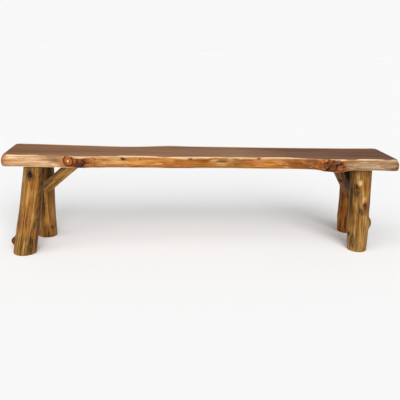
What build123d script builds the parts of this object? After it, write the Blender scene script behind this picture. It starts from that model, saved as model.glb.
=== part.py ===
"""Rustic live-edge bench: a waney slab seat on four round log legs, braced by a pole at each end.

Millimetres.  +X runs along the seat, +Y to the back, +Z up.  The origin is on the floor,
under the centre of the bench's outer box.
"""

from build123d import *
from math import pi, sin
import os

os.makedirs("parts", exist_ok=True)

# ------------------------------------------------------------------ driving dimensions
seat_height = 457.0
slab_thickness = 54.0
slab_underside = seat_height - slab_thickness

# The long edges keep the tree's own line.  Each station is the place along the seat, then
# how far the edge stands out near the top face and near the underside.
front_edge = [
    (-745, -133, -148),
    (-668, -135, -155),
    (-575, -170, -158),
    (-510, -146, -150),
    (-345, -139, -143),
    (-190, -139, -137),
    (-80, -156, -134),
    (40, -134, -131),
    (270, -126, -138),
    (450, -129, -137),
    (530, -144, -154),
    (600, -163, -168),
    (680, -151, -153),
    (790, -147, -151),
]
back_edge = [
    (790, 145, 153),
    (600, 137, 146),
    (300, 133, 142),
    (35, 135, 143),
    (-100, 139, 148),
    (-155, 147, 154),
    (-263, 120, 131),
    (-459, 110, 122),
    (-640, 124, 134),
    (-776, 137, 146),
]

# The four corners, as stations of the same kind: the sawn ends are slightly out of square.
front_left_corner = (-930, -133, -145)
front_right_corner = (921, -150, -167)
back_right_corner = (930, 163, 166)
back_left_corner = (-924, 147, 155)
corner_radius = 26.0

# The slab bellies out between its faces: at each share of the thickness up from the
# underside, how far its ends and its long edges are drawn in.
slab_levels = [
    (0.0, 5.0, 3.0),
    (0.45, 0.0, 0.0),
    (1.0, 12.0, 3.0),
]
top_edge_radius = 5.0
bottom_edge_radius = 8.0

# Each log leg: where its axis meets the floor and the slab, its radius at five even steps
# up from the floor, and how far its middle bows along the seat.
legs = {
    "front_left": {
        "foot": (-842.0, -144.5),
        "top": (-788.0, -83.5),
        "radii": (52.0, 51.3, 50.6, 50.3, 50.5),
        "bow": 3.0,
    },
    "back_left": {
        "foot": (-774.0, 95.0),
        "top": (-779.0, 96.5),
        "radii": (46.0, 45.5, 44.5, 46.0, 46.9),
        "bow": 0.0,
    },
    "front_right": {
        "foot": (760.0, -129.5),
        "top": (758.0, -76.5),
        "radii": (47.5, 49.8, 50.2, 51.0, 51.8),
        "bow": 0.0,
    },
    "back_right": {
        "foot": (808.0, 148.5),
        "top": (771.0, 98.5),
        "radii": (47.5, 48.5, 46.0, 48.0, 48.8),
        "bow": 0.0,
    },
}
foot_ease = 3.0

# What is left of two side branches: a sawn stub on one leg, a healed swelling on another.
stub_height = 55.0
stub_radius = 16.0
stub_reach = 66.0
stub_ease = 4.0
swelling_height = 135.0
swelling_radius = 45.0
swelling_reach = 60.0

# Round tenons turned on the tops of the legs, in blind mortises bored in the underside.
tenon_radius = 24.8
tenon_length = 38.0
tenon_root = 20.0
mortise_radius = 25.0
mortise_depth = 40.0

# A fox wedge stands in each tenon's saw kerf, and the mortise's floor drives it home.
wedge_length = 32.0
wedge_width = 40.0
wedge_thick_end = 5.0
wedge_thin_end = 1.5

# Each pole brace runs from a point near a back leg's axis to a point on the slab's underside.
braces = {
    "left": {
        "leg": "back_left",
        "low": (-782.0, 91.5, 238.0),
        "high": (-617.0, -76.5, slab_underside),
        "low_radius": 26.5,
        "high_radius": 26.2,
    },
    "right": {
        "leg": "back_right",
        "low": (805.0, 117.0, 190.0),
        "high": (631.5, -75.0, slab_underside),
        "low_radius": 21.5,
        "high_radius": 21.0,
    },
}
socket_floor = 30.0
socket_clearance = 0.1

# Two screws hold each brace, driven from below and square to the pole, with plugged heads.
lower_screw_from_leg = 60.0
upper_screw_from_slab = 15.0
screw_length = 65.0
screw_shank_radius = 2.4
screw_head_radius = 4.8
screw_head_rim = 0.6
screw_head_height = 3.6
screw_tip_length = 7.0
screw_tip_radius = 0.3
screw_drive_width = 2.8
screw_drive_depth = 2.0
screw_clearance = 0.05
screw_head_depth = 12.0
plug_radius = 6.0
plug_clearance = 0.05

on_base = (Align.CENTER, Align.CENTER, Align.MIN)


# ------------------------------------------------------------------ places
def edge_points(stations, share, inset):
    """Points along a live edge at a share of the slab's thickness, drawn in by the inset."""
    return [(x, low + (high - low) * share + inset) for x, high, low in stations]


def leg_centre(leg, share):
    """Centre of a leg's level section at a share of its height."""
    foot = Vector(*leg["foot"], 0)
    top = Vector(*leg["top"], slab_underside)
    return foot + (top - foot) * share + Vector(leg["bow"] * sin(pi * share), 0, 0)


def tenon_plane(leg):
    """At the leg's shoulder, +Z up its axis and +X as near the seat's length as it goes."""
    axis = leg_centre(leg, 1) - leg_centre(leg, 0)
    across = axis.cross(Vector(1, 0, 0))
    return Plane(origin=leg_centre(leg, 1), x_dir=across.cross(axis), z_dir=axis)


def brace_axis(brace):
    return Vector(*brace["high"]) - Vector(*brace["low"])


def brace_plane(brace):
    """At the brace's low end, +Z along the pole and +X square to it, upwards."""
    level = brace_axis(brace).cross(Vector(0, 0, 1))
    return Plane(origin=brace["low"], x_dir=level.cross(brace_axis(brace)), z_dir=brace_axis(brace))


def screw_plane(brace, end):
    """Where a screw crosses the pole's axis, +Z the way the screw is driven."""
    pole = brace_plane(brace)
    along = {
        "lower": lower_screw_from_leg,
        "upper": brace_axis(brace).length - upper_screw_from_slab,
    }
    return Plane(origin=pole.origin + pole.z_dir * along[end], x_dir=pole.z_dir, z_dir=pole.x_dir)


def upright(plane):
    """The plane that holds the given one's X and Z, with Z drawn as its own Y."""
    return Plane(origin=plane.origin, x_dir=plane.x_dir, z_dir=-plane.y_dir)


# ------------------------------------------------------------------ shapes that pieces share
def make_wedge(leg, width, mode=Mode.ADD):
    """The fox wedge, thin end down the kerf and thick end on the mortise's floor."""
    with BuildSketch(upright(tenon_plane(leg)), mode=Mode.PRIVATE) as profile:
        Polygon(
            (-wedge_thick_end / 2, mortise_depth),
            (wedge_thick_end / 2, mortise_depth),
            (wedge_thin_end / 2, mortise_depth - wedge_length),
            (-wedge_thin_end / 2, mortise_depth - wedge_length),
            align=None,
        )
    extrude(profile.sketch, amount=width / 2, both=True, mode=mode)


def make_pole(brace, mode=Mode.ADD):
    """The brace's tapered pole, from its socket's floor to well past the slab's underside."""
    length = brace_axis(brace).length + brace["low_radius"]
    with Locations(brace_plane(brace).offset(socket_floor)):
        Cone(brace["low_radius"], brace["high_radius"], length, align=on_base, mode=mode)


def make_screw(brace, end, clearance=0.0, mode=Mode.ADD):
    """A countersunk screw without its thread or, with a clearance, the hole it stands in."""
    head = screw_head_depth - brace["low_radius"]
    tip = head + screw_length
    with BuildSketch(upright(screw_plane(brace, end)), mode=Mode.PRIVATE) as half:
        Polygon(
            (0, head - clearance),
            (screw_head_radius + clearance, head - clearance),
            (screw_head_radius + clearance, head + screw_head_rim),
            (screw_shank_radius + clearance, head + screw_head_height),
            (screw_shank_radius + clearance, tip - screw_tip_length),
            (screw_tip_radius + clearance, tip + clearance),
            (0, tip + clearance),
            align=None,
        )
    axis = Axis(screw_plane(brace, end).origin, screw_plane(brace, end).z_dir)
    revolve(half.sketch, axis=axis, mode=mode)


def make_plug(brace, end, clearance=0.0, mode=Mode.ADD):
    """The plug's straight stock or, with no clearance, the counterbore it fills."""
    stock = brace["low_radius"] + screw_head_depth - clearance
    with Locations(screw_plane(brace, end).offset(-2 * brace["low_radius"])):
        Cylinder(plug_radius - clearance, stock, align=on_base, mode=mode)


# ------------------------------------------------------------------ seat slab
with BuildPart() as seat_slab:
    for share, end_inset, edge_inset in slab_levels:
        front_corners = edge_points([front_left_corner, front_right_corner], share, edge_inset)
        back_corners = edge_points([back_right_corner, back_left_corner], share, -edge_inset)
        front_left, front_right = [Vector(*corner) for corner in front_corners]
        back_right, back_left = [Vector(*corner) for corner in back_corners]
        front = edge_points(front_edge, share, edge_inset)
        back = edge_points(back_edge, share, -edge_inset)
        inward = Vector(end_inset, 0)
        with BuildSketch(Plane.XY.offset(slab_underside + share * slab_thickness)) as outline:
            with BuildLine():
                Spline(front_left + inward, *front, front_right - inward)
                Line(front_right - inward, back_right - inward)
                Spline(back_right - inward, *back, back_left + inward)
                Line(back_left + inward, front_left + inward)
            make_face()
            fillet(outline.vertices(), radius=corner_radius)
    loft()
    fillet(seat_slab.faces().sort_by(Axis.Z)[-1].edges(), radius=top_edge_radius)
    fillet(seat_slab.faces().sort_by(Axis.Z)[0].edges(), radius=bottom_edge_radius)
    for leg in legs.values():
        with Locations(tenon_plane(leg).offset(-tenon_root)):
            Cylinder(mortise_radius, tenon_root + mortise_depth, align=on_base, mode=Mode.SUBTRACT)
    for brace in braces.values():
        make_screw(brace, "upper", screw_clearance, Mode.SUBTRACT)
seat_slab.part.label = "seat_slab"
export_step(seat_slab.part, "parts/seat_slab.step")

# ------------------------------------------------------------------ legs and their wedges
for name, leg in legs.items():
    with BuildPart() as log_leg:
        for step, radius in enumerate(leg["radii"]):
            with BuildSketch(Plane(leg_centre(leg, step / (len(leg["radii"]) - 1)))):
                Circle(radius)
        loft()
        chamfer(log_leg.faces().sort_by(Axis.Z)[0].edges(), length=foot_ease)
        if name == "front_left":
            with Locations(Plane(leg_centre(leg, stub_height / slab_underside), z_dir=(-1, -0.1, 0))):
                Cylinder(stub_radius, stub_reach, align=on_base)
            fillet(log_leg.faces().sort_by(Axis.X)[0].edges(), radius=stub_ease)
        if name == "front_right":
            inset = Vector(swelling_reach - swelling_radius, 0, 0)
            with Locations(leg_centre(leg, swelling_height / slab_underside) + inset):
                Sphere(swelling_radius)
        with Locations(tenon_plane(leg).offset(-tenon_root)):
            Cylinder(tenon_radius, tenon_root + tenon_length, align=on_base)
        make_wedge(leg, 2 * mortise_radius, Mode.SUBTRACT)
        for brace in braces.values():
            if brace["leg"] == name:
                with Locations(brace_plane(brace).offset(socket_floor)):
                    Cylinder(
                        brace["low_radius"] + socket_clearance,
                        2 * max(leg["radii"]),
                        align=on_base,
                        mode=Mode.SUBTRACT,
                    )
                make_screw(brace, "lower", screw_clearance, Mode.SUBTRACT)
    log_leg.part.label = "leg_" + name
    export_step(log_leg.part, "parts/leg_" + name + ".step")

    with BuildPart() as fox_wedge:
        make_wedge(leg, wedge_width)
    fox_wedge.part.label = "tenon_wedge_" + name
    export_step(fox_wedge.part, "parts/tenon_wedge_" + name + ".step")

# ------------------------------------------------------------------ braces, screws and plugs
for side, brace in braces.items():
    with BuildPart() as pole_brace:
        make_pole(brace)
        split(bisect_by=Plane.XY.offset(slab_underside), keep=Keep.BOTTOM)
        for end in ("lower", "upper"):
            make_screw(brace, end, screw_clearance, Mode.SUBTRACT)
            make_plug(brace, end, mode=Mode.SUBTRACT)
    pole_brace.part.label = "brace_" + side
    export_step(pole_brace.part, "parts/brace_" + side + ".step")

    for end in ("lower", "upper"):
        head = screw_plane(brace, end).offset(screw_head_depth - brace["low_radius"])
        with BuildPart() as brace_screw:
            make_screw(brace, end)
            with BuildSketch(head):
                Rectangle(screw_drive_width, screw_drive_width)
            extrude(amount=screw_drive_depth, mode=Mode.SUBTRACT)
        brace_screw.part.label = "brace_screw_" + side + "_" + end
        export_step(brace_screw.part, "parts/brace_screw_" + side + "_" + end + ".step")

        with BuildPart() as screw_plug:
            make_plug(brace, end, plug_clearance)
            make_pole(brace, Mode.INTERSECT)
        screw_plug.part.label = "screw_plug_" + side + "_" + end
        export_step(screw_plug.part, "parts/screw_plug_" + side + "_" + end + ".step")
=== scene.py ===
"""Looks of the rustic log bench: carved relief and wood for its logs, poles and slab.

Metres, in the CAD frame.  Every visible log, pole and the slab is a new mesh whose rings
or rows are measured from its CAD node, then given furrows, knots and burls in geometry.
Each mesh carries its wood's own coordinates ("grain": two across, the third along the
tree), bent round its knots, its broad colours ("tint") and masks for knots, furrows and
sawn faces, which the node materials read.  Angles round a log run from +X towards +Y.
"""

import itertools
import math

import bpy
import numpy as np
from mathutils import Matrix, Vector
from mathutils.bvhtree import BVHTree


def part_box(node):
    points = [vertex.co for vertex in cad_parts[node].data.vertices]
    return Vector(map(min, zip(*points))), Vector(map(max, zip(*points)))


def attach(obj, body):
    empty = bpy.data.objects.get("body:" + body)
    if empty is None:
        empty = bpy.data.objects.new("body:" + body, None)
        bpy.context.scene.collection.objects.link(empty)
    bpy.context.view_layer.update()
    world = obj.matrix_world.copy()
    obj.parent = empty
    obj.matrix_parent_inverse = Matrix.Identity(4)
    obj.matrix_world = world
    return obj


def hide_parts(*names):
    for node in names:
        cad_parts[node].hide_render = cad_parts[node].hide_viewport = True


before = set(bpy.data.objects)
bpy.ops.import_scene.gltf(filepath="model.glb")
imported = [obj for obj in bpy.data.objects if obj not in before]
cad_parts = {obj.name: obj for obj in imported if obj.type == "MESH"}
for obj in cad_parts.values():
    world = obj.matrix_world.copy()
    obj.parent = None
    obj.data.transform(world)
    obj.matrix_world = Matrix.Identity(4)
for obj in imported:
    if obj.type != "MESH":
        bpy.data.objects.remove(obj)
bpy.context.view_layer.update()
MM = 0.001
# The studio's light brightens a bare colour by the first, and the woods' sheen adds the second.
FULL_LIGHT = 1.2
GLANCING_VEIL = 0.018
SHEEN = 0.16
SLAB_LOW, SLAB_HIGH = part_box("seat_slab")
MID_SLAB = (SLAB_LOW.z + SLAB_HIGH.z) / 2


# ------ noise, masks, colours
def smooth_noise(points, seed):
    """Smooth noise between -1 and 1 at (..., 3) points, one lattice cell to the unit."""
    size = 32
    table = np.random.default_rng(seed).uniform(-1, 1, (size, size, size))
    cell = np.floor(points).astype(int)
    part = points - cell
    part = part * part * (3 - 2 * part)
    total = np.zeros(points.shape[:-1])
    for corner in itertools.product((0, 1), repeat=3):
        weight = np.prod(np.where(corner, part, 1 - part), axis=-1)
        i, j, k = np.moveaxis((cell + corner) % size, -1, 0)
        total += weight * table[i, j, k]
    return total


def layered_noise(points, seed, layers=3):
    """Noise with finer layers of half the height on top."""
    total = sum(smooth_noise(points * 2**n, seed + n) / 2**n for n in range(layers))
    return total / 1.6


def bell(distance):
    return np.exp(-np.square(distance))


def step(low, high, value):
    """Rises smoothly from 0 at low to 1 at high, or falls where low is above high."""
    share = np.clip((value - low) / (high - low), 0, 1)
    return share * share * (3 - 2 * share)


def grooves(points, seed):
    """Narrow winding grooves between broad ridges: 0 on a ridge, 1 in a groove."""
    return bell(smooth_noise(points, seed) / 0.22)


def linear(red, green, blue):
    """A display colour, 0 to 255, as a linear one: for colours that filter another."""
    share = np.array((red, green, blue)) / 255
    return np.where(share > 0.04045, ((share + 0.055) / 1.055) ** 2.4, share / 12.92)


def swatch(red, green, blue):
    """The bare colour that looks like a display colour in the studio's light and its veil."""
    return np.maximum(linear(red, green, blue) - GLANCING_VEIL, 0.002) / FULL_LIGHT


def blend_colour(mask, under, over):
    return under * (1 - mask[..., None]) + over * mask[..., None]


def between(value, places, colours):
    """Colours met in turn as value passes the places."""
    return np.stack([np.interp(value, places, channel) for channel in np.array(colours).T], -1)


# ------ meshes
def add_object(name, data):
    made = bpy.data.objects.new(name, data)
    bpy.context.scene.collection.objects.link(made)
    return made


def surface_of(node):
    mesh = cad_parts[node].data
    return BVHTree.FromPolygons([v.co for v in mesh.vertices], [p.vertices for p in mesh.polygons])


def make_piece(name, node, material, points, faces, attributes):
    """A mesh piece that stands for a CAD node, with its attributes for the materials."""
    mesh = bpy.data.meshes.new(name)
    mesh.from_pydata(points.tolist(), [], faces)
    mesh.validate()
    mesh.shade_smooth()
    for key, values in attributes.items():
        kind, field = ("FLOAT_VECTOR", "vector") if values.ndim == 2 else ("FLOAT", "value")
        layer = mesh.attributes.new(key, kind, "POINT")
        layer.data.foreach_set(field, values.astype(np.float32).ravel())
    mesh.materials.append(material)
    piece = add_object(name, mesh)
    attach(piece, "root")
    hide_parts(node)


def vertex_normals(points, faces):
    mesh = bpy.data.meshes.new("measure")
    mesh.from_pydata(points.tolist(), [], faces)
    normals = np.zeros(len(points) * 3)
    mesh.vertices.foreach_get("normal", normals)
    bpy.data.meshes.remove(mesh)
    return normals.reshape(-1, 3)


# ------ knots
# In knot radii, a distance that is clear of every knot.
NO_KNOT = 6.0


def knot(across, along, radius, tone=0.0, stretch=1.5, swell=2.0, collar=1.0, pit=1.0):
    """A knot at a place across and along the grain; radius, swell, collar, pit in millimetres.

    Its tone is 0 for a dark dead knot, 1 for a red-brown live one.
    """
    sizes = {"radius": radius * MM, "swell": swell * MM, "collar": collar * MM, "pit": pit * MM}
    return sizes | {"across": across, "along": along, "stretch": stretch, "tone": tone}


def knot_fields(side_of, along, knots):
    """What a set of knots does to a surface; side_of gives the distance across from a place.

    Returns the relief, the sideways shift that bends the grain round the knots, the
    distance from the nearest knot in knot radii, and that knot's tone.
    """
    relief = np.zeros(along.shape)
    shift = np.zeros(along.shape)
    nearest = np.full(along.shape, NO_KNOT)
    tone = np.zeros(along.shape)
    for number, one in enumerate(knots):
        side = side_of(one["across"])
        rise = along - one["along"]
        far = np.hypot(side / one["radius"], rise / (one["radius"] * one["stretch"]))
        turn = np.arctan2(rise, side)
        far *= 1 + 0.12 * np.sin(2 * turn + number) + 0.08 * np.sin(3 * turn + 2 * number)
        relief += one["swell"] * bell(far / 2.4)
        relief += one["collar"] * bell((far - 1.15) / 0.35)
        relief -= one["pit"] * bell(far / 0.75)
        shift -= side * bell(far / 1.7)
        closer = far < nearest
        nearest = np.where(closer, far, nearest)
        tone = np.where(closer, one["tone"], tone)
    return relief, shift, nearest, tone


# ------ logs and poles
LOG_COLUMNS = 120
POLE_COLUMNS = 80
LEVEL_ROWS = 150
POLE_ROWS = 80
MEASURED_LEVELS = 14
SOCKET_FLOOR = 30 * MM
TENON_RADIUS = 24.8 * MM
# How much of the CAD tenon's height the mesh's own tenon has.
TENON_SHARE = 0.86
# The spacing of the net of shallow lines on the right brace.
NET_ACROSS = 0.016
NET_ALONG = 0.026


def level_circle(surface, height, guess):
    """Centre and radius of a leg's level section, from rays that skip sockets and stubs."""
    hits = []
    for turn in np.linspace(0, 2 * math.pi, 48, endpoint=False):
        outward = Vector((math.cos(turn), math.sin(turn), 0))
        hit = surface.ray_cast(Vector((*guess, height)) + outward * 0.2, -outward)[0]
        if hit is not None:
            hits.append((hit.x, hit.y))
    kept = np.array(hits)
    for _ in range(6):
        equations = np.column_stack([2 * kept, np.ones(len(kept))])
        x, y, rest = np.linalg.lstsq(equations, np.square(kept).sum(1), rcond=None)[0]
        radius = math.sqrt(rest + x * x + y * y)
        miss = np.abs(np.hypot(kept[:, 0] - x, kept[:, 1] - y) - radius)
        kept = kept[miss <= max(0.3 * MM, np.quantile(miss, 0.8))]
    return x, y, radius


def leg_rings(node, foot):
    """Level rings up a leg, from the middle of its foot to the end of its tenon.

    Gives each ring's centre, radius and share of the relief.
    """
    surface = surface_of(node)
    tenon_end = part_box(node)[1].z
    shoulder = SLAB_LOW.z
    heights = np.linspace(12 * MM, shoulder - 4 * MM, MEASURED_LEVELS)
    measured = []
    for height in heights:
        measured.append(level_circle(surface, height, measured[-1][:2] if measured else foot))
    curves = (np.polynomial.Polynomial.fit(heights, column, 4) for column in zip(*measured))
    x_at, y_at, radius_at = curves
    ease = 3 * MM
    rings = [((x_at(0), y_at(0), 0), radius_at(0) * share, 0) for share in (0.35, 0.7, 0.9)]
    for height in np.linspace(0, shoulder, LEVEL_ROWS):
        drawn_in = ease * (1 - math.sqrt(1 - (1 - min(height / ease, 1)) ** 2))
        rings.append(((x_at(height), y_at(height), height), radius_at(height) - drawn_in, 1))
    top = Vector(rings[-1][0])
    lean = (top - Vector(rings[-9][0])).normalized()
    length = (tenon_end - shoulder) * TENON_SHARE
    for rise, share in ((0, 1), (0.5, 1), (1, 1), (1, 0.5)):
        rings.append((tuple(top + lean * rise * length), TENON_RADIUS * share, 0))
    centres, radii, weights = zip(*rings)
    return np.array(centres), np.array(radii), np.array(weights)


def pole_rings(low, high, radii):
    """Rings along a pole, from its socket's floor to the middle of its upper end, and its axis."""
    low, high = Vector(low) * MM, Vector(high) * MM
    axis = (high - low).normalized()
    run = (high - low).length
    ease = 1.5 * MM
    # Each ring's place, share of the radius and share of the relief.
    rings = [(SOCKET_FLOOR, share, 0) for share in (0.4, 0.92)]
    rings += [(place, 1, 1) for place in np.linspace(SOCKET_FLOOR + ease, run, POLE_ROWS)]
    rings += [(run, share, 0) for share in (0.9, 0.5)]
    taper = [np.interp(place, (0, run), radii) * MM * share for place, share, _ in rings]
    centres = [tuple(low + axis * place) for place, *_ in rings]
    return (np.array(centres), np.array(taper), np.array([ring[2] for ring in rings])), axis


def tube_faces(rows, columns):
    """Faces of rows of rings, closed at both ends on two further points."""
    faces = []
    for row in range(rows - 1):
        here, above = row * columns, (row + 1) * columns
        for column in range(columns):
            after = (column + 1) % columns
            faces.append((here + column, here + after, above + after, above + column))
    first, last, top = rows * columns, rows * columns + 1, (rows - 1) * columns
    for column in range(columns):
        after = (column + 1) % columns
        faces.append((first, after, column))
        faces.append((last, top + column, top + after))
    return faces


def around(angle, theta, girth):
    """Distance round a log, of a given radius, from an angle in degrees."""
    turn = (theta - math.radians(angle) + math.pi) % (2 * math.pi) - math.pi
    return turn * girth


def cut_level(points, along, axis):
    """Slides a pole's rows along its axis, so that its last ring lies on the slab's underside."""
    share = (along - along[0, 0]) / (along[-1, 0] - along[0, 0])
    slide = share * ((SLAB_LOW.z - points[..., 2]) / axis.z + along - along[-1, 0])
    return points + slide[..., None] * np.array(axis), along + slide


def patch_mask(patch, theta, along, girth, ragged):
    """A ragged oval, (angle, place along, half width, half length) in degrees and millimetres."""
    angle, place, wide, tall = patch
    far = np.hypot(around(angle, theta, girth) / (wide * MM), (along - place * MM) / (tall * MM))
    return step(1.25, 0.45, far + ragged)


def diagonal(theta, along, girth, way):
    """One of the two families of shallow winding lines that cross like a net; way is 1 or -1."""
    round_log = theta * girth
    bend = layered_noise(np.stack([round_log * 60, along * 60, theta * 0 + way], -1), 40 + way)
    phase = round_log / NET_ACROSS + way * along / NET_ALONG + 0.72 * bend
    return bell(np.sin(math.pi * phase) / 0.3)


def log_fields(theta, along, girth, look):
    """Relief, furrow mask, knot fields and broad colours over a log."""
    seed = look["seed"]
    wander = 0.22 * smooth_noise(np.stack([along * 8, theta * 0, theta * 0 + seed], -1), seed)
    turned = theta + wander
    wood = np.stack([np.cos(turned) * girth, np.sin(turned) * girth, along], -1)
    ragged = 0.45 * layered_noise(wood * (70, 70, 22), seed + 1)
    bark = np.zeros(theta.shape)
    for patch in look["bark"]:
        bark += patch_mask(patch, theta, along, girth, ragged)
    bark = np.clip(bark, 0, 1)
    patchy = step(-0.1, 0.6, layered_noise(wood * (30, 30, 7), seed + 2))
    furrow = grooves(wood * (85, 85, 7), seed + 3)
    furrow = np.maximum(furrow, 0.7 * grooves(wood * (150, 150, 16), seed + 4))
    furrow = np.maximum(furrow, bark * grooves(wood * (230, 230, 14), seed + 9))
    furrow = furrow * np.clip(0.12 + 0.55 * patchy + bark, 0, 1)
    relief = layered_noise(wood * (20, 20, 8), seed + 5) * 1.9 * MM
    relief += smooth_noise(wood * (60, 60, 13), seed + 6) * 0.7 * MM
    relief += smooth_noise(wood * (190, 190, 22), seed + 7) * 0.25 * MM
    relief -= furrow * (0.9 + 0.9 * bark) * MM

    def side_of(angle):
        return around(angle, theta, girth)

    knot_relief, shift, nearest, tone = knot_fields(side_of, along, look["knots"])
    calm = 1 - 0.8 * bell(nearest / 1.6)
    relief = relief * calm + knot_relief
    for angle, place, wide, tall, out in look["bumps"]:
        far = np.hypot(side_of(angle) / (wide * MM), (along - place * MM) / (tall * MM))
        relief += out * MM * np.exp(-(far**3))
    if "net" in look:
        low, high = look["net"]
        lines = np.maximum(diagonal(theta, along, girth, 1), diagonal(theta, along, girth, -1))
        lines *= step(low - 0.03, low, along) * step(high + 0.03, high, along)
        lines *= 0.4 + 0.6 * patchy
        furrow = np.maximum(furrow, 0.8 * lines)
        relief -= 0.7 * MM * lines
    broad = layered_noise(wood * (26, 26, 5), seed + 8, 4)
    tint = between(broad, (-0.42, -0.1, 0.14, 0.45), [swatch(*colour) for colour in look["palette"]])
    for *patch, colour, strength in look["patches"]:
        mask = strength * patch_mask(patch, theta, along, girth, ragged)
        tint = blend_colour(mask, tint, swatch(*colour))
    return relief, furrow * calm, bark, shift, nearest, tone, tint


def dress_log(name, node, material, look, rings, across=((1, 0, 0), (0, 1, 0)), start=0.0, axis=None):
    """Builds a log, or a pole with a straight axis that is cut level under the slab.

    The two directions across give where its angles 0 and 90 lie.  Places along a log are
    heights, and along a pole they are distances from its axis's low end, from start on.
    """
    centres, radii, weights = rings
    columns = LOG_COLUMNS if axis is None else POLE_COLUMNS
    girth = float(np.median(radii))
    steps = np.linalg.norm(np.diff(centres, axis=0), axis=1)
    places = centres[:, 2] if axis is None else start + np.concatenate([[0], np.cumsum(steps)])
    theta, along = np.meshgrid(np.linspace(0, 2 * math.pi, columns, endpoint=False), places)
    spokes = np.cos(theta)[..., None] * across[0] + np.sin(theta)[..., None] * across[1]
    placed = along
    if axis is not None:
        placed = cut_level(centres[:, None] + spokes * radii[:, None, None], along, axis)[1]
    relief, furrow, bark, shift, nearest, tone, tint = log_fields(theta, placed, girth, look)
    reach = radii[:, None] + relief * weights[:, None]
    points = centres[:, None] + spokes * reach[..., None]
    if axis is not None:
        points, along = cut_level(points, along, axis)
    bent = theta + shift / girth
    wood = np.stack([np.cos(bent) * reach, np.sin(bent) * reach, along], -1)
    faces = tube_faces(len(radii), columns)
    sawn = np.broadcast_to(1 - weights[:, None], theta.shape)

    def closed(values, ends=None):
        """The rows' values, then those at the two end points."""
        ends = np.stack([values[0].mean(0), values[-1].mean(0)]) if ends is None else ends
        return np.concatenate([values.reshape(-1, *values.shape[2:]), ends])

    fields = {"grain": wood, "tint": tint, "furrow": furrow, "bark": bark, "knot": nearest, "tone": tone}
    attributes = {key: closed(values) for key, values in fields.items()}
    attributes["sawn"] = closed(sawn, np.ones(2))
    make_piece(name, node, material, closed(points), faces, attributes)


# ------ slab
RIM = 26 * MM
RIM_ROWS = 36
LONG_STEP = 3.3 * MM
CROSS_COLUMNS = 42
CORNER_COLUMNS = 12
FAN = np.radians(np.linspace(90, -90, 61))
# Rays steeper than this, downwards, meet the underside and not the rounded rim.
STEEPEST = math.radians(-58)
# The edges are measured this far from the slab's ends and sides, clear of its corners.
END_MARGIN = 45 * MM
SIDE_MARGIN = 60 * MM


def slab_edges(surface):
    """The slab's front, back, left and right edges, as smooth curves of x or of y."""

    def reach(origin, direction):
        return surface.ray_cast(Vector(origin), Vector(direction))[0]

    long_places = np.linspace(SLAB_LOW.x + END_MARGIN, SLAB_HIGH.x - END_MARGIN, 300)
    cross_places = np.linspace(SLAB_LOW.y + SIDE_MARGIN, SLAB_HIGH.y - SIDE_MARGIN, 24)
    curves = []
    for way in (1, -1):
        edge = [reach((x, -way, MID_SLAB), (0, way, 0)).y for x in long_places]
        curves.append(np.polynomial.Chebyshev.fit(long_places, edge, 14, [-1, 1]))
    for way in (1, -1):
        edge = [reach((-2 * way, y, MID_SLAB), (way, 0, 0)).x for y in cross_places]
        curves.append(np.polynomial.Polynomial.fit(cross_places, edge, 1))
    return curves


def slab_sheet(surface):
    """The slab's level middle sheet, a rim's width inside its edges, as (rows, columns, xy)."""
    front, back, left, right = slab_edges(surface)
    share = np.linspace(0, 1, round((SLAB_HIGH.x - SLAB_LOW.x - 2 * RIM) / LONG_STEP) + 1)
    across = np.linspace(0, 1, CROSS_COLUMNS)
    share, across = np.meshgrid(share, across, indexing="ij")
    x = np.interp(share, (0, 1), (left(0.0) + RIM, right(0.0) - RIM))
    for _ in range(4):
        inner = np.clip(x, SLAB_LOW.x + END_MARGIN, SLAB_HIGH.x - END_MARGIN)
        y = front(inner) + RIM + across * (back(inner) - front(inner) - 2 * RIM)
        x = left(y) + RIM + share * (right(y) - left(y) - 2 * RIM)
    return np.stack([x, y], -1)


def rim_walk(sheet):
    """The sheet's border in order, as (row, column, outward x, outward y), corners fanned out."""
    rows, columns = sheet.shape[:2]
    walk = [(row, 0, 0.0, -1.0) for row in range(rows)]
    walk += turned_corner(rows - 1, 0, -90)
    walk += [(rows - 1, column, 1.0, 0.0) for column in range(columns)]
    walk += turned_corner(rows - 1, columns - 1, 0)
    walk += [(row, columns - 1, 0.0, 1.0) for row in reversed(range(rows))]
    walk += turned_corner(0, columns - 1, 90)
    walk += [(0, column, -1.0, 0.0) for column in reversed(range(columns))]
    walk += turned_corner(0, 0, 180)
    return walk


def turned_corner(row, column, start):
    """The extra columns that fan out from a corner of the sheet, over a quarter turn."""
    turns = np.radians(start + 90 * np.arange(1, CORNER_COLUMNS) / CORNER_COLUMNS)
    return [(row, column, math.cos(turn), math.sin(turn)) for turn in turns]


def rim_profile(surface, origin, outward):
    """Evenly spaced points from the top to the underside, round the slab's edge.

    The steepest rays meet the flat underside, whether or not a mortise is cut into it there.
    """
    hits = []
    for angle in FAN:
        ray = Vector((outward[0] * math.cos(angle), outward[1] * math.cos(angle), math.sin(angle)))
        if angle < STEEPEST:
            hits.append(origin + ray * ((SLAB_LOW.z - origin.z) / ray.z))
            continue
        hit = surface.ray_cast(origin + ray * 0.15, -ray)[0]
        if hit is not None:
            hits.append(hit)
    hits = np.array(hits)
    run = np.concatenate([[0], np.cumsum(np.linalg.norm(np.diff(hits, axis=0), axis=1))])
    places = np.linspace(0, run[-1], RIM_ROWS)
    return np.stack([np.interp(places, run, hits[:, k]) for k in range(3)], -1)


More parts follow.
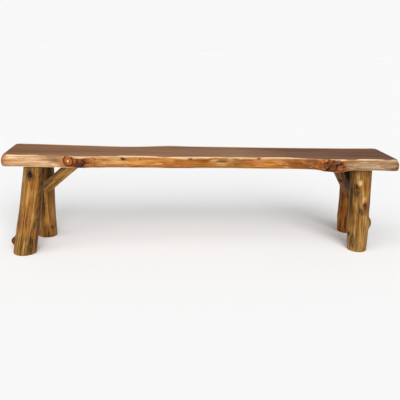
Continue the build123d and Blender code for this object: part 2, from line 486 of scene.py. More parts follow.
def slab_mesh(surface):
    """The slab as a top grid, a bottom grid and the rim band between them."""
    sheet = slab_sheet(surface)
    rows, columns = sheet.shape[:2]
    flat = sheet.reshape(-1, 2)
    count = rows * columns
    heights = [surface.ray_cast(Vector((x, y, 1)), Vector((0, 0, -1)))[0].z for x, y in flat]
    points = [np.column_stack([flat, heights]), np.column_stack([flat, np.full(count, SLAB_LOW.z)])]
    faces = []
    for row in range(rows - 1):
        for column in range(columns - 1):
            a, b = row * columns + column, (row + 1) * columns + column
            faces.append((a, b, b + 1, a + 1))
            faces.append((count + a, count + a + 1, count + b + 1, count + b))
    walk = rim_walk(sheet)

    def rim_vertex(place, level):
        row, column = walk[place][:2]
        if level == 0:
            return row * columns + column
        if level == RIM_ROWS - 1:
            return count + row * columns + column
        return 2 * count + place * (RIM_ROWS - 2) + level - 1

    for place, (row, column, *outward) in enumerate(walk):
        profile = rim_profile(surface, Vector((*sheet[row, column], MID_SLAB)), outward)
        points.append(profile[1:-1])
        after = (place + 1) % len(walk)
        for level in range(RIM_ROWS - 1):
            corners = [rim_vertex(after, level), rim_vertex(place, level)]
            corners += [rim_vertex(place, level + 1), rim_vertex(after, level + 1)]
            faces.append(tuple(dict.fromkeys(corners)))
    return np.concatenate(points), [face for face in faces if len(face) > 2]


# Places along the slab, in metres, and the colour of its heartwood there.
HEART_ZONES = (
    (-0.93, (155, 118, 87)),
    (-0.50, (168, 133, 102)),
    (0.15, (176, 142, 114)),
    (0.40, (142, 110, 89)),
    (0.93, (131, 101, 81)),
)
# Places along the front wane, in metres, and the colour of the bare wood there.
WANE_ZONES = (
    (-0.93, (190, 118, 68)),
    (-0.90, (220, 184, 146)),
    (-0.74, (226, 194, 158)),
    (-0.695, (186, 154, 118)),
    (-0.66, (196, 142, 88)),
    (-0.60, (142, 68, 14)),
    (-0.555, (124, 56, 8)),
    (-0.525, (190, 134, 80)),
    (-0.42, (198, 150, 94)),
    (-0.35, (204, 146, 82)),
    (-0.20, (196, 132, 68)),
    (-0.05, (192, 130, 66)),
    (0.12, (156, 110, 60)),
    (0.27, (190, 126, 58)),
    (0.34, (170, 110, 52)),
    (0.47, (142, 86, 38)),
    (0.55, (142, 84, 36)),
    (0.63, (158, 102, 50)),
    (0.68, (176, 150, 122)),
    (0.80, (178, 154, 130)),
    (0.90, (168, 146, 120)),
    (0.93, (178, 116, 72)),
)
# The big round knot's place, as (x, z), and its radius.
EYE = (-0.630, 0.4356)
EYE_RADIUS = 22 * MM
# (x, z, radius across the grain in mm, tone, stretch, swell, collar, pit)
WANE_KNOTS = (
    (-0.389, 0.444, 3.6, 0.0, 2.4, 0.6, 0.5, 1.8),
    (-0.313, 0.444, 2.2, 0.2, 1.3, 0.2, 0.2, 1.0),
    (-0.085, 0.450, 3.8, 0.7, 1.8, 1.4, 0.6, 1.4),
    (0.238, 0.449, 3.5, 0.9, 1.8, 1.5, 0.6, 0.3),
    (0.901, 0.420, 3.0, 0.0, 1.2, 0.3, 0.3, 0.8),
)
# (x, z, half length along the slab, half height) of the trunk's knotty bulges
BURLS = ((-0.583, 0.427, 0.034, 0.020), (0.578, 0.430, 0.070, 0.028))
# The right burl hangs below the underside: how far, and between which places it starts and ends.
SAG = 6.5 * MM
SAG_STARTS = (0.50, 0.59)
SAG_ENDS = (0.675, 0.64)
# Where the tree's pith runs under the slab, as (y, z)
PITH = (0.012, 0.36)
# (x, z, half length, half height, colour, strength) of stains on the front wane
STAINS = (
    (-0.7, 0.44, 0.04, 0.012, (162, 134, 108), 0.7),
    (-0.68, 0.415, 0.03, 0.008, (228, 190, 146), 0.7),
    (-0.5155, 0.44, 0.006, 0.007, (90, 48, 22), 0.35),
    (-0.474, 0.436, 0.012, 0.005, (140, 88, 48), 0.5),
    (0.055, 0.435, 0.062, 0.012, (220, 168, 104), 0.6),
    (0.062, 0.436, 0.032, 0.006, (92, 82, 50), 0.9),
    (0.0, 0.441, 0.016, 0.004, (140, 104, 60), 0.6),
    (0.238, 0.442, 0.03, 0.012, (196, 132, 92), 0.5),
    (0.598, 0.442, 0.032, 0.012, (58, 30, 16), 0.85),
    (0.54, 0.448, 0.02, 0.008, (206, 140, 80), 0.7),
    (0.52, 0.42, 0.018, 0.01, (204, 122, 60), 0.7),
    (0.6, 0.418, 0.03, 0.007, (196, 118, 62), 0.7),
    (0.33, 0.434, 0.03, 0.01, (214, 160, 96), 0.5),
    (-0.13, 0.432, 0.03, 0.008, (160, 92, 34), 0.5),
    (-0.02, 0.44, 0.03, 0.01, (150, 84, 32), 0.25),
    (-0.231, 0.425, 0.022, 0.006, (232, 190, 130), 0.6),
    (0.16, 0.428, 0.05, 0.009, (150, 92, 38), 0.4),
    (0.815, 0.434, 0.03, 0.006, (176, 122, 78), 0.6),
    (0.76, 0.444, 0.05, 0.006, (206, 180, 150), 0.6),
    (-0.588, 0.42, 0.026, 0.012, (60, 24, 8), 0.9),
)


def zone_colour(value, zones):
    return between(value, [place for place, _ in zones], [swatch(*colour) for _, colour in zones])


def wane_patch(x, z, place, height, long, tall, ragged):
    """A ragged oval on the front wane: 1 inside, fading to 0 round its outline."""
    return step(1.3, 0.5, np.hypot((x - place) / long, (z - height) / tall) + ragged)


def buds():
    """The small knots crowded over the burls, as in a cluster of dormant buds."""
    rng = np.random.default_rng(70)
    found = []
    for place, height, long, tall in BURLS:
        for _ in range(round(long * tall / 8e-5)):
            turn = rng.uniform(0, 2 * math.pi)
            far = rng.uniform(0, 1)
            across = height + tall * far * math.sin(turn)
            along = place + long * far * math.cos(turn)
            size = rng.uniform(2.4, 5.2)
            found.append(knot(across, along, size, rng.uniform(0, 1), 1.2, 0.9 * size, 0.6, 1.6))
    return found


def eye_relief(x, z):
    """The big round knot near the left end: a dome inside a groove, with a ring within."""
    far = np.hypot(x - EYE[0], (z - EYE[1]) * 1.05) / EYE_RADIUS
    angle = np.arctan2(z - EYE[1], x - EYE[0])
    far *= 1 + 0.07 * np.sin(2 * angle + 0.6) + 0.04 * np.sin(3 * angle)
    dome = 5.5 * MM * step(1.25, 0.55, far)
    dome -= 2.6 * MM * bell((far - 1.02) / 0.13)
    dome -= 1.8 * MM * bell((far - 0.5) / 0.1)
    dome += 1.2 * MM * bell(far / 0.3)
    return dome, far


def slab_fields(points, normals):
    """The slab's relief, the shift of its grain, and its masks and broad colours by name."""
    x, y, z = points.T
    wane = step(0.82, 0.45, np.abs(normals[:, 2]))
    sawn = step(0.55, 0.85, np.abs(normals[:, 0])) * wane
    front = wane * (y < 0) * (1 - sawn)
    wood = np.column_stack([y, z, x])
    ragged = 0.4 * layered_noise(wood * (90, 90, 40), 71)
    knots = [knot(height, place, *rest) for place, height, *rest in WANE_KNOTS]
    knot_relief, shift, nearest, tone = knot_fields(lambda height: z - height, x, knots + buds())
    knot_relief, shift = knot_relief * front, shift * front
    nearest = np.where(front > 0.02, nearest, NO_KNOT)
    dome, eye = eye_relief(x, z)
    eye = np.where(front > 0.02, eye, NO_KNOT)
    burl = sum(wane_patch(x, z, *one, ragged) for one in BURLS) * front
    cells = np.column_stack([x, y, z])
    gnarl = grooves(cells * 95, 81) * 0.6 + grooves(cells * 160, 82) * 0.4
    hewn = layered_noise(cells * (11, 30, 34), 83) * 1.6 * MM
    hewn += smooth_noise(cells * (30, 90, 120), 84) * 0.6 * MM
    split = step(-0.2, 0.5, layered_noise(cells * (7, 9, 9), 86))
    hewn -= grooves(cells * (9, 60, 150), 85) * split * 0.8 * MM
    relief = wane * (1 - sawn) * hewn * (1 - 0.7 * bell(nearest / 1.8)) + knot_relief
    lumps = np.abs(smooth_noise(cells * 62, 91)) * 5.0 * MM + smooth_noise(cells * 120, 92) * 1.5 * MM
    relief += front * dome + burl * (3.5 * MM + lumps - gnarl * 3.0 * MM)
    relief += (1 - wane) * layered_noise(cells * (3, 9, 0), 87) * 0.5 * MM * (normals[:, 2] > 0)
    relief += sawn * layered_noise(cells * (40, 60, 60), 88) * 0.5 * MM
    # The back edge has the front's broad colours the other way round.
    place = np.where(y < 0, x, -x) + 0.018 * layered_noise(cells * (12, 60, 60), 89)
    tint = zone_colour(place, WANE_ZONES)
    # Painted shade: the wane darker and more orange along the slab's underside edge.
    painted_edge_shade = 0.8 * wane * step(SLAB_LOW.z + 13 * MM, SLAB_LOW.z + 2 * MM, z)
    tint = blend_colour(painted_edge_shade, tint, tint * linear(210, 154, 66))
    upper = 0.7 * wane * step(SLAB_HIGH.z - 11 * MM, SLAB_HIGH.z - 3 * MM, z)
    tint = blend_colour(upper, tint, swatch(242, 211, 168))
    heart = zone_colour(x + 0.06 * layered_noise(cells * (6, 16, 0), 90), HEART_ZONES)
    for place, height, long, tall, colour, strength in STAINS:
        mask = strength * front * wane_patch(x, z, place, height, long, tall, ragged)
        tint = blend_colour(mask, tint, swatch(*colour))
    fields = {"tint": tint, "heart": heart, "wane": wane, "sawn": sawn, "gnarl": burl * gnarl}
    fields |= {"burl": burl, "knot": nearest, "tone": tone, "eye": eye}
    return relief, shift, fields


def edge_depth(points, surface):
    """How far each point lies inside the slab's front edge, and inside its back edge."""
    front, back = slab_edges(surface)[:2]
    x = np.clip(points[:, 0], SLAB_LOW.x + END_MARGIN, SLAB_HIGH.x - END_MARGIN)
    return points[:, 1] - front(x), back(x) - points[:, 1]


def burl_sag(points, inside_front):
    """How far the right burl hangs below the underside, near the front edge only."""
    x, _, z = points.T
    along = step(*SAG_STARTS, x) * step(*SAG_ENDS, x)
    lumpy = 1 + 0.3 * smooth_noise(points * 60, 95)
    near = step(46 * MM, 12 * MM, inside_front) * step(SLAB_HIGH.z - 20 * MM, SLAB_LOW.z, z)
    return SAG * along * lumpy * near


def dress_slab(material):
    surface = surface_of("seat_slab")
    points, faces = slab_mesh(surface)
    normals = vertex_normals(points, faces)
    relief, shift, fields = slab_fields(points, normals)
    inside_front, inside_back = edge_depth(points, surface)
    carved = points + normals * relief[:, None]
    sag = burl_sag(points, inside_front)
    carved[:, 2] = np.clip(carved[:, 2] - sag, SLAB_LOW.z - sag, SLAB_HIGH.z + 1 * MM)
    x, y, z = points.T
    turn = np.arctan2(y - PITH[0], z - PITH[1])
    fields["grain"] = np.column_stack([y, z + shift, x])
    fields["spoke"] = np.column_stack([turn * 0.1, np.hypot(y - PITH[0], z - PITH[1]), x])
    fields |= {"inside_front": inside_front, "inside_back": inside_back}
    make_piece("slab_wood_live_edge", "seat_slab", material, carved, faces, fields)


# ------ node materials
class Nodes:
    """Short ways to add and join a material's nodes; an input is a socket or a plain value."""

    def __init__(self, name):
        self.material = bpy.data.materials.new(name)
        self.material.use_nodes = True
        self.tree = self.material.node_tree
        self.shader = self.tree.nodes["Principled BSDF"]

    def add(self, kind):
        return self.tree.nodes.new("ShaderNode" + kind)

    def put(self, value, socket):
        if isinstance(value, bpy.types.NodeSocket):
            self.tree.links.new(value, socket)
        else:
            socket.default_value = value

    def fill(self, node, inputs):
        for key, value in inputs.items():
            self.put(value, node.inputs[key])

    def field(self, name, output="Fac"):
        node = self.add("Attribute")
        node.attribute_name = name
        return node.outputs[output]

    def vector(self, operation, first, second):
        node = self.add("VectorMath")
        node.operation = operation
        self.put(first, node.inputs[0])
        self.put(second, node.inputs[1])
        return node.outputs["Value" if operation == "LENGTH" else "Vector"]

    def noise(self, stretch, detail=3.0, distortion=0.0, name="grain"):
        """Noise with stretch cells to the metre, in an attribute's or the part's coordinates."""
        if name == "part":
            place = self.add("TexCoord").outputs["Object"]
        else:
            place = self.field(name, "Vector")
        node = self.add("TexNoise")
        self.put(self.vector("MULTIPLY", place, stretch), node.inputs["Vector"])
        self.fill(node, {"Scale": 1.0, "Detail": detail, "Distortion": distortion})
        return node.outputs["Fac"]

    def ramp(self, value, *stops):
        """A colour ramp whose stops are (place, colour), where one number is a grey."""
        node = self.add("ValToRGB")
        elements = node.color_ramp.elements
        while len(elements) < len(stops):
            elements.new(0.5)
        for element, (place, colour) in zip(elements, stops):
            element.position = place
            element.color = (*([colour] * 3 if isinstance(colour, (int, float)) else colour), 1)
        self.put(value, node.inputs["Fac"])
        return node.outputs["Color"]

    def tones(self, value, *stops):
        """A colour ramp whose stops are (place, display colour)."""
        return self.ramp(value, *((place, swatch(*colour)) for place, colour in stops))

    def mix(self, share, first, second, blend="MIX"):
        node = self.add("Mix")
        node.data_type = "RGBA"
        node.blend_type = blend
        colours = [socket for socket in node.inputs if socket.type == "RGBA"]
        self.put(share, node.inputs[0])
        for value, socket in zip((first, second), colours):
            self.put(value if isinstance(value, bpy.types.NodeSocket) else (*value, 1), socket)
        return next(socket for socket in node.outputs if socket.type == "RGBA")

    def lay(self, colour, mask, none_at, full_at, share, over, blend="MIX"):
        """Lays a display colour, or a socket's, over another: where a mask has the value full_at,
        by share, and where it has the value none_at, not at all."""
        stops = sorted([(none_at, 0.0), (full_at, share)])
        if not isinstance(over, bpy.types.NodeSocket):
            over = linear(*over) if blend == "MULTIPLY" else swatch(*over)
        return self.mix(self.ramp(mask, *stops), colour, over, blend)

    def dim(self, *what):
        """The same, but the colour filters the one below."""
        return self.lay(*what, "MULTIPLY")

    def maths(self, operation, first, second=0.0, third=0.0):
        node = self.add("Math")
        node.operation = operation
        for value, socket in zip((first, second, third), node.inputs):
            self.put(value, socket)
        return node.outputs[0]

    def roughened(self, value, noise, amount):
        """A mask or distance with noise added about its own value."""
        return self.maths("MULTIPLY_ADD", self.maths("SUBTRACT", noise, 0.5), amount, value)

    def rings(self, centre, spacing, wobble, amount):
        """Growth rings round a line along the grain: rises 0 to 1 across each ring."""
        moved = self.vector("SUBTRACT", self.field("grain", "Vector"), (*centre, 0))
        flat = self.vector("MULTIPLY", moved, (1, 1, 0))
        bent = self.maths("MULTIPLY_ADD", wobble, amount, self.vector("LENGTH", flat, (0, 0, 0)))
        return self.maths("FRACT", self.maths("DIVIDE", bent, spacing))

    def knots(self, colour, speck):
        """Dark dead knots and red-brown live ones, ragged at the rim, with a fading halo."""
        far = self.maths("DIVIDE", self.roughened(self.field("knot"), speck, 1.3), 4.0)
        dead = self.tones(
            far,
            (0.10, (40, 16, 6)),
            (0.20, (62, 30, 12)),
            (0.25, (104, 72, 46)),
            (0.31, (64, 42, 22)),
            (0.42, (120, 84, 46)),
        )
        live = self.tones(
            far,
            (0.05, (120, 56, 26)),
            (0.20, (150, 84, 44)),
            (0.26, (96, 48, 20)),
            (0.36, (170, 112, 62)),
        )
        core = self.mix(self.field("tone"), dead, live)
        return self.mix(self.ramp(far, (0.22, 1.0), (0.33, 0.75), (0.6, 0.0)), colour, core)

    def finish(self, colour, roughness, height, depth):
        bump = self.add("Bump")
        self.fill(bump, {"Strength": 1.0, "Distance": depth, "Height": height})
        self.fill(self.shader, {"Base Color": colour, "Roughness": roughness})
        self.fill(self.shader, {"Specular IOR Level": SHEEN, "Normal": bump.outputs["Normal"]})
        return self.material


def log_wood(name):
    """Peeled log: its tint streaked lighter and darker, with dark furrows and knots."""
    wood = Nodes(name)
    streak = wood.noise((85, 85, 5), 4.0, 0.3)
    thin = wood.noise((240, 240, 9), 3.0, 0.2)
    fibre = wood.noise((900, 900, 30), 3.0)
    speck = wood.noise((170, 170, 110), 4.0)
    share = wood.ramp(streak, (0.34, 0.0), (0.5, 0.62), (0.66, 1.0))
    shade = wood.mix(share, linear(180, 162, 126), linear(248, 248, 243))
    colour = wood.mix(1.0, wood.field("tint", "Color"), shade, "MULTIPLY")
    colour = wood.lay(colour, thin, 0.54, 0.66, 0.85, (78, 52, 24))
    colour = wood.lay(colour, thin, 0.43, 0.32, 0.45, (226, 182, 114))
    ragged = wood.roughened(wood.field("furrow"), thin, 0.9)
    colour = wood.lay(colour, ragged, 0.35, 0.95, 0.9, (52, 36, 22))
    bark = wood.maths("MULTIPLY", wood.field("bark"), wood.ramp(speck, (0.42, 0.15), (0.58, 0.9)))
    colour = wood.mix(bark, colour, swatch(88, 68, 38))
    mottle = wood.noise((48, 48, 15), 5.0, 0.6)
    colour = wood.dim(colour, mottle, 0.5, 0.36, 0.4, (200, 168, 120))
    colour = wood.lay(colour, mottle, 0.56, 0.68, 0.15, (222, 184, 124))
    nick = wood.noise((330, 330, 42), 4.0, 0.4)
    colour = wood.lay(colour, nick, 0.62, 0.72, 0.7, (84, 56, 26))
    colour = wood.dim(colour, fibre, 0.7, 0.25, 0.3, (170, 140, 96))
    colour = wood.knots(colour, speck)
    rings = wood.rings((0.004, -0.003), 0.0042, streak, 0.006)
    end = wood.tones(rings, (0.0, (206, 160, 104)), (0.75, (178, 124, 70)), (1.0, (104, 62, 30)))
    colour = wood.mix(wood.field("sawn"), colour, end)
    roughness = wood.maths("MULTIPLY_ADD", fibre, 0.25, 0.45)
    height = wood.maths("ADD", wood.maths("MULTIPLY", fibre, 0.35), wood.maths("MULTIPLY", thin, -0.8))
    height = wood.maths("ADD", height, wood.maths("MULTIPLY", nick, -0.7))
    return wood.finish(colour, roughness, height, 1.4 * MM)


def heartwood(wood, broad, streak, thin, rings):
    """The slab's purple-brown top, and the pale sapwood along both of its long edges."""
    line = wood.noise((240, 240, 1.6), 3.0)
    dull, plain, bright = linear(226, 214, 208), linear(245, 240, 238), linear(255, 250, 244)
    shade = wood.ramp(broad, (0.36, dull), (0.5, plain), (0.64, bright))
    heart = wood.mix(1.0, wood.field("heart", "Color"), shade, "MULTIPLY")
    late = wood.ramp(rings, (0.0, 0.0), (0.7, 0.08), (0.93, 0.4), (1.0, 0.0))
    heart = wood.mix(late, heart, linear(196, 168, 152), "MULTIPLY")
    heart = wood.dim(heart, line, 0.48, 0.66, 0.65, (186, 158, 146))
    heart = wood.lay(heart, line, 0.44, 0.34, 0.45, (196, 134, 98))
    heart = wood.dim(heart, thin, 0.55, 0.3, 0.45, (200, 182, 170))
    uneven = wood.noise((60, 60, 14), 3.0)
    front, back = (
        wood.maths("MULTIPLY", wood.roughened(wood.field(edge), uneven, 0.012), 20.0)
        for edge in ("inside_front", "inside_back")
    )
    share = wood.ramp(streak, (0.35, 0.0), (0.65, 1.0))
    sap = wood.mix(share, swatch(226, 176, 124), swatch(250, 222, 180))
    top = wood.lay(heart, front, 0.2, 0.14, 1.0, sap)
    sap = wood.mix(streak, swatch(226, 168, 108), swatch(250, 206, 150))
    return wood.lay(top, back, 0.52, 0.38, 1.0, sap)


def bare_wane(wood, streak, thin):
    """The slab's natural edge: its broad colours with streaks, flames and thin dark lines."""
    share = wood.ramp(streak, (0.34, 0.0), (0.5, 0.55), (0.66, 1.0))
    shade = wood.mix(share, linear(190, 166, 134), linear(255, 255, 250))
    bare = wood.mix(1.0, wood.field("tint", "Color"), shade, "MULTIPLY")
    flame = wood.noise((70, 55, 13), 5.0, 1.2)
    bare = wood.dim(bare, flame, 0.5, 0.35, 0.6, (210, 168, 116))
    bare = wood.lay(bare, flame, 0.56, 0.72, 0.25, (246, 208, 152))
    return wood.lay(bare, thin, 0.55, 0.7, 0.6, (120, 72, 36))


def end_grain(wood, rings):
    """The slab's sawn ends: growth rings, rays that run out from the pith, and a few checks."""
    ray = wood.noise((420, 14, 4), 3.0, 0.0, "spoke")
    check = wood.noise((150, 6, 1), 2.0, 0.0, "spoke")
    end = wood.tones(rings, (0.0, (170, 116, 84)), (0.7, (132, 86, 64)), (1.0, (78, 44, 32)))
    end = wood.dim(end, ray, 0.5, 0.35, 0.5, (190, 160, 140))
    return wood.lay(end, check, 0.66, 0.7, 0.9, (44, 24, 14))


def slab_wood(name):
    """Live-edge slab: heartwood above, bare sapwood on its natural edges, grain on its ends."""
    wood = Nodes(name)
    broad = wood.noise((14, 14, 2.2), 2.0)
    streak = wood.noise((110, 130, 5), 4.0, 0.25)
    thin = wood.noise((430, 430, 5), 3.0)
    fibre = wood.noise((1200, 1200, 26), 2.0)
    speck = wood.noise((150, 150, 110), 4.0)
    rings = wood.rings(PITH, 0.0052, broad, 0.009)
    top = heartwood(wood, broad, streak, thin, rings)
    colour = wood.mix(wood.field("wane"), top, bare_wane(wood, streak, thin))
    # The burls' ramp runs from dark knobs to pale ones, and its last stop, brighter than the bare wood,
    # is a painted highlight.
    dark, pale, painted_highlight = linear(150, 108, 84), linear(240, 226, 206), (2.1, 1.85, 1.6)
    knobs = wood.ramp(speck, (0.38, dark), (0.47, pale), (0.57, painted_highlight))
    colour = wood.mix(wood.maths("MULTIPLY", wood.field("burl"), 0.9), colour, knobs, "MULTIPLY")
    gnarl = wood.roughened(wood.field("gnarl"), speck, 0.7)
    colour = wood.lay(colour, gnarl, 0.12, 0.5, 0.97, (52, 20, 8))
    eye = wood.maths("DIVIDE", wood.roughened(wood.field("eye"), speck, 0.16), 4.0)
    eye_tone = wood.tones(
        eye,
        (0.0, (226, 176, 124)),
        (0.055, (214, 156, 98)),
        (0.105, (88, 36, 12)),
        (0.15, (172, 106, 56)),
        (0.195, (150, 86, 42)),
        (0.235, (66, 24, 8)),
        (0.275, (92, 44, 18)),
        (0.31, (150, 96, 52)),
    )
    colour = wood.lay(colour, eye, 0.36, 0.28, 0.95, eye_tone)
    colour = wood.knots(colour, speck)
    colour = wood.mix(wood.maths("MULTIPLY", wood.field("sawn"), 0.9), colour, end_grain(wood, rings))
    roughness = wood.maths("MULTIPLY_ADD", streak, 0.2, 0.5)
    height = wood.maths("ADD", wood.maths("MULTIPLY", thin, 0.5), wood.maths("MULTIPLY", fibre, 0.3))
    return wood.finish(colour, roughness, height, 0.7 * MM)


def small_wood(name, dark, middle, light):
    """Wedges and plugs: fine straight grain that runs upwards."""
    wood = Nodes(name)
    grain = wood.noise((420, 420, 60), 4.0, 0.0, "part")
    fibre = wood.noise((1500, 1500, 140), 3.0, 0.0, "part")
    colour = wood.tones(grain, (0.32, dark), (0.5, middle), (0.68, light))
    colour = wood.dim(colour, fibre, 0.6, 0.3, 0.5, (190, 160, 120))
    return wood.finish(colour, wood.maths("MULTIPLY_ADD", fibre, 0.2, 0.5), fibre, 0.3 * MM)


def plated_steel(name):
    """Dull zinc plating, finely pitted, with a few duller blotches."""
    steel = Nodes(name)
    blotch = steel.noise((260, 260, 260), 4.0, 0.0, "part")
    fine = steel.noise((1900, 1900, 1900), 2.0, 0.0, "part")
    colour = steel.ramp(blotch, (0.35, (0.42, 0.42, 0.40)), (0.6, (0.56, 0.56, 0.54)))
    steel.shader.inputs["Metallic"].default_value = 1.0
    return steel.finish(colour, steel.maths("MULTIPLY_ADD", blotch, 0.3, 0.25), fine, 0.1 * MM)


def dress_small_parts():
    """The wedges, plugs and screws keep their CAD shapes."""
    looks = {
        "tenon_wedge": small_wood("wedge_hardwood", (150, 112, 70), (188, 148, 98), (212, 176, 124)),
        "screw_plug_left": small_wood("plug_wood_left", (140, 98, 48), (168, 122, 60), (188, 142, 78)),
        "screw_plug_right": small_wood("plug_wood_right", (100, 68, 34), (124, 84, 44), (142, 102, 58)),
        "brace_screw": plated_steel("zinc_plate"),
    }
    for start, material in looks.items():
        for name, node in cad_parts.items():
            if name.startswith(start):
                node.data.materials.clear()
                node.data.materials.append(material)


# ------ the four legs
# Each palette goes from the darkest of a log's broad colours to the palest.
#   bark:    (angle, place, half width, half length) of patches with finer, darker furrows
#   patches: the same with a colour and a strength, some of them painted shade (marked as such)
#   bumps:   the same with a height
# Angles are in degrees and the rest in millimetres, but a foot, a knot's place along the log
# and the span of a net of lines are in metres.
LEGS = {}
LEGS["leg_front_left"] = {
    "foot": (-0.842, -0.1445),
    "seed": 100,
    "palette": ((138, 100, 46), (170, 124, 60), (182, 126, 56), (200, 156, 92)),
    "bark": ((-38, 340, 19, 70), (-32, 250, 10, 70), (-48, 137, 8, 24), (-58, 50, 12, 44)),
    "patches": (
        (-132, 200, 12, 210, (136, 108, 56), 0.6),
        (-86, 300, 8, 80, (200, 126, 54), 0.5),
        (-104, 277, 7, 60, (206, 156, 90), 0.4),
        (-96, 150, 20, 90, (176, 124, 64), 0.6),
        (-85, 40, 60, 60, (126, 94, 46), 0.75),
        (-48, 137, 10, 20, (88, 84, 66), 0.9),
        (-50, 200, 16, 200, (140, 92, 40), 0.6),
        (-20, 200, 20, 230, (112, 74, 28), 0.7),
        (-96, 389, 7, 9, (214, 178, 128), 0.7),
        # Painted shade: a thin dark band just under the slab.
        (-103, 401, 20, 8, (84, 60, 36), 0.7),
    ),
    "knots": (
        knot(-103, 0.368, 11.0, 0.0, 1.7, 2.0, 2.2, 4.5),
        knot(-62, 0.382, 3.4, 0.8, 1.2, 0.8, 0.5, 0.5),
        knot(186, 0.057, 15.0, 0.12, 1.0, 0.0, 0.8, 0.0),
        knot(60, 0.250, 9.0, 0.4, 1.5),
        knot(130, 0.130, 7.0, 0.8, 1.5),
    ),
    "bumps": ((184, 57, 17, 16, 14.5),),
}
LEGS["leg_back_left"] = {
    "foot": (-0.774, 0.095),
    "seed": 200,
    "palette": ((140, 100, 48), (182, 136, 72), (194, 140, 72), (208, 164, 98)),
    "bark": ((-94, 180, 8, 80), (-47, 330, 12, 60)),
    "patches": (
        # Painted shade: the dark gap behind the front-left leg.
        (-98, 170, 8, 110, (74, 50, 28), 0.6),
        (-62, 102, 4, 40, (120, 54, 24), 0.6),
        (-60, 30, 70, 50, (134, 86, 34), 0.6),
        (-31, 150, 12, 120, (176, 130, 72), 0.6),
        # Painted shade: the slab's shadow over the top of the leg.
        (-75, 384, 60, 44, (50, 24, 5), 0.95),
    ),
    "knots": (
        knot(-51, 0.053, 5.0, 0.3, 1.4, 1.2, 0.8, 0.8),
        knot(95, 0.300, 9.0, 0.2, 1.5),
        knot(60, 0.110, 7.0, 0.7, 1.5),
    ),
    "bumps": (),
}
LEGS["leg_front_right"] = {
    "foot": (0.760, -0.1295),
    "seed": 300,
    "palette": ((112, 83, 38), (155, 115, 58), (166, 118, 54), (204, 166, 104)),
    "bark": ((-162, 250, 9, 110), (-126, 292, 9, 22), (-140, 56, 10, 42)),
    "patches": (
        (-162, 249, 9, 100, (84, 82, 54), 0.8),
        (-126, 289, 9, 18, (96, 92, 64), 0.8),
        (-130, 298, 22, 24, (88, 80, 52), 0.9),
        (-112, 338, 13, 17, (252, 220, 166), 1.0),
        (-119, 374, 6, 28, (232, 190, 128), 0.85),
        (-84, 254, 12, 20, (244, 208, 150), 0.95),
        # A grey-brown stain below the middle knot, darkened further as painted shade under the knot's
        # swell.
        (-92, 203, 24, 22, (92, 76, 50), 0.9),
        (-100, 268, 5, 40, (74, 56, 32), 0.7),
        (-140, 56, 12, 36, (104, 92, 64), 0.7),
        (-64, 305, 14, 90, (176, 120, 58), 0.6),
        (-172, 353, 10, 40, (92, 78, 54), 0.6),
        (-122, 232, 8, 30, (196, 156, 100), 0.5),
        (-20, 200, 14, 230, (96, 64, 32), 0.6),
        (-66, 60, 30, 90, (176, 132, 76), 0.6),
        (-128, 70, 30, 80, (128, 92, 44), 0.6),
        # Painted shade: a dark band just under the slab.
        (-90, 392, 70, 22, (118, 80, 36), 0.6),
    ),
    "knots": (
        knot(-129, 0.319, 9.5, 0.3, 1.1, 2.6, 2.6, 3.6),
        knot(-80, 0.229, 9.5, 0.3, 1.3, 3.5, 2.4, 2.6),
        knot(-167, 0.082, 6.0, 0.0, 1.4, 1.5, 0.8, 1.5),
        knot(80, 0.280, 9.0, 0.3, 1.5),
        knot(120, 0.160, 7.0, 0.8, 1.5),
    ),
    "bumps": ((-2, 134, 24, 26, 14.0), (-120, 300, 16, 30, 2.5)),
}
LEGS["leg_back_right"] = {
    "foot": (0.808, 0.1485),
    "seed": 400,
    "palette": ((140, 76, 18), (178, 108, 24), (192, 112, 24), (204, 138, 46)),
    "bark": ((-150, 190, 8, 70), (-120, 60, 8, 50)),
    "patches": (
        # The next two patches are painted shade: the dark hollow at the leg's top, under the slab and
        # behind the right brace.
        (-130, 330, 40, 90, (84, 44, 18), 0.6),
        (-110, 380, 60, 66, (30, 14, 5), 0.97),
        (-125, 134, 8, 60, (150, 96, 44), 0.5),
    ),
    "knots": (
        knot(-140, 0.250, 6.0, 0.4, 1.5, 1.5, 0.8, 0.8),
        knot(100, 0.220, 9.0, 0.3, 1.5),
        knot(20, 0.120, 7.0, 0.8, 1.5),
    ),
    "bumps": ((175, 86, 16, 22, 2.5),),
}


# Each pole runs from a point on a back leg's axis to a point under the slab, in millimetres.
POLES = {}
POLES["brace_left"] = {
    "low": (-782.0, 91.5, 238.0),
    "high": (-617.0, -76.5, 403.0),
    "radii": (26.5, 26.2),
    "seed": 500,
    "palette": ((172, 128, 62), (208, 160, 84), (220, 168, 90), (236, 196, 124)),
    "bark": (),
    "patches": (),
    "knots": (knot(120, 0.150, 2.6, 0.8, 1.4, 0.6, 0.3, 0.3),),
    "bumps": ((180, 60, 8, 8, -0.8), (180, 272.5, 8, 8, -0.8)),
}
POLES["brace_right"] = {
    "low": (805.0, 117.0, 190.0),
    "high": (631.5, -75.0, 403.0),
    "radii": (21.5, 21.0),
    "seed": 600,
    "palette": ((112, 76, 40), (140, 96, 50), (156, 106, 58), (176, 130, 80)),
    "bark": (),
    # Painted shade: the dark side of the brace that faces the front-right leg.
    "patches": ((-92, 200, 14, 150, (64, 34, 14), 0.85),),
    "knots": (knot(-163, 0.238, 6.5, 0.0, 1.8, 0.8, 0.6, 1.4),),
    "bumps": ((180, 60, 8, 8, -0.8), (180, 320, 8, 8, -0.8)),
    "net": (0.05, 0.18),
}


def dress_legs(material):
    for node, look in LEGS.items():
        dress_log(node + "_log", node, material, look, leg_rings(node, look["foot"]))


def dress_poles(material):
    """Angle 0 on a pole is its upper side."""
    for node, look in POLES.items():
        rings, axis = pole_rings(look["low"], look["high"], look["radii"])
        level = axis.cross(Vector((0, 0, 1))).normalized()
        across = (level.cross(axis), axis.cross(level.cross(axis)))
        dress_log(node + "_pole", node, material, look, rings, across, SOCKET_FLOOR, axis)


peeled_log = log_wood("peeled_log")
dress_legs(peeled_log)
dress_poles(peeled_log)
dress_slab(slab_wood("live_edge_slab"))
dress_small_parts()


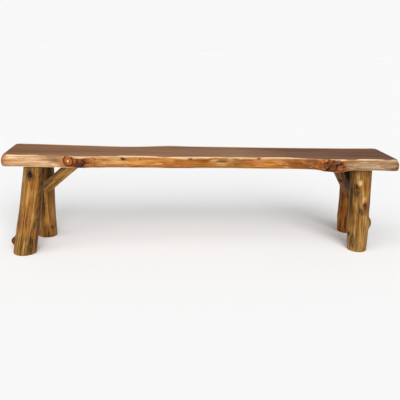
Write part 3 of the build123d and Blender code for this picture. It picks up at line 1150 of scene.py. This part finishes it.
# ------ stage, light, camera
def make_floor():
    mesh = bpy.data.meshes.new("floor")
    reach = 60.0
    corners = [(x * reach, y * reach, 0) for x, y in ((-1, -1), (1, -1), (1, 1), (-1, 1))]
    mesh.from_pydata(corners, [], [(0, 1, 2, 3)])
    paint = Nodes("floor")
    paint.fill(paint.shader, {"Base Color": (0.9, 0.9, 0.9, 1), "Roughness": 1, "Specular IOR Level": 0})
    mesh.materials.append(paint.material)
    add_object("floor", mesh)


def make_world(seen, felt):
    """A white surround, as bright as seen behind the bench and as felt in its light."""
    world = bpy.data.worlds.new("studio")
    bpy.context.scene.world = world
    world.use_nodes = True
    tree = world.node_tree
    background = tree.nodes["Background"]
    path = tree.nodes.new("ShaderNodeLightPath")
    strength = tree.nodes.new("ShaderNodeMapRange")
    tree.links.new(path.outputs["Is Camera Ray"], strength.inputs["Value"])
    strength.inputs["To Min"].default_value = felt
    strength.inputs["To Max"].default_value = seen
    tree.links.new(strength.outputs["Result"], background.inputs["Strength"])
    background.inputs["Color"].default_value = (1, 1, 1, 1)


def soft_light(name, place, power, spread):
    """A distant light, as wide as spread in degrees, that shines from a place to the bench."""
    light = bpy.data.lights.new(name, "SUN")
    light.energy = power
    light.angle = math.radians(spread)
    lamp = add_object(name, light)
    lamp.location = place
    lamp.rotation_euler = (-Vector(place)).to_track_quat("-Z", "Y").to_euler()


# The camera that was fitted to the bench's outlines: its place, and its yaw to the right,
# pitch downwards and roll in degrees.
CAMERA_PLACE = (-0.3191, -2.6232, 0.967)
CAMERA_TURNS = (6.572, 15.934, 2.035)


def make_camera():
    yaw, pitch, roll = (math.radians(angle) for angle in CAMERA_TURNS)
    lens = bpy.data.cameras.new("camera")
    lens.lens = 50
    lens.sensor_width = 36
    camera = add_object("camera", lens)
    aim = Matrix.Rotation(-yaw, 4, "Z") @ Matrix.Rotation(math.pi / 2 - pitch, 4, "X")
    turn = aim @ Matrix.Rotation(roll, 4, "Z")
    camera.matrix_world = Matrix.Translation(CAMERA_PLACE) @ turn
    bpy.context.scene.camera = camera


make_floor()
make_world(seen=0.94, felt=0.3)
soft_light("key", (0.35, -2.4, 1.4), power=2.7, spread=42)
soft_light("fill", (-1.6, -2.2, 2.2), power=1.6, spread=75)
make_camera()
bpy.context.scene.view_settings.view_transform = "Standard"
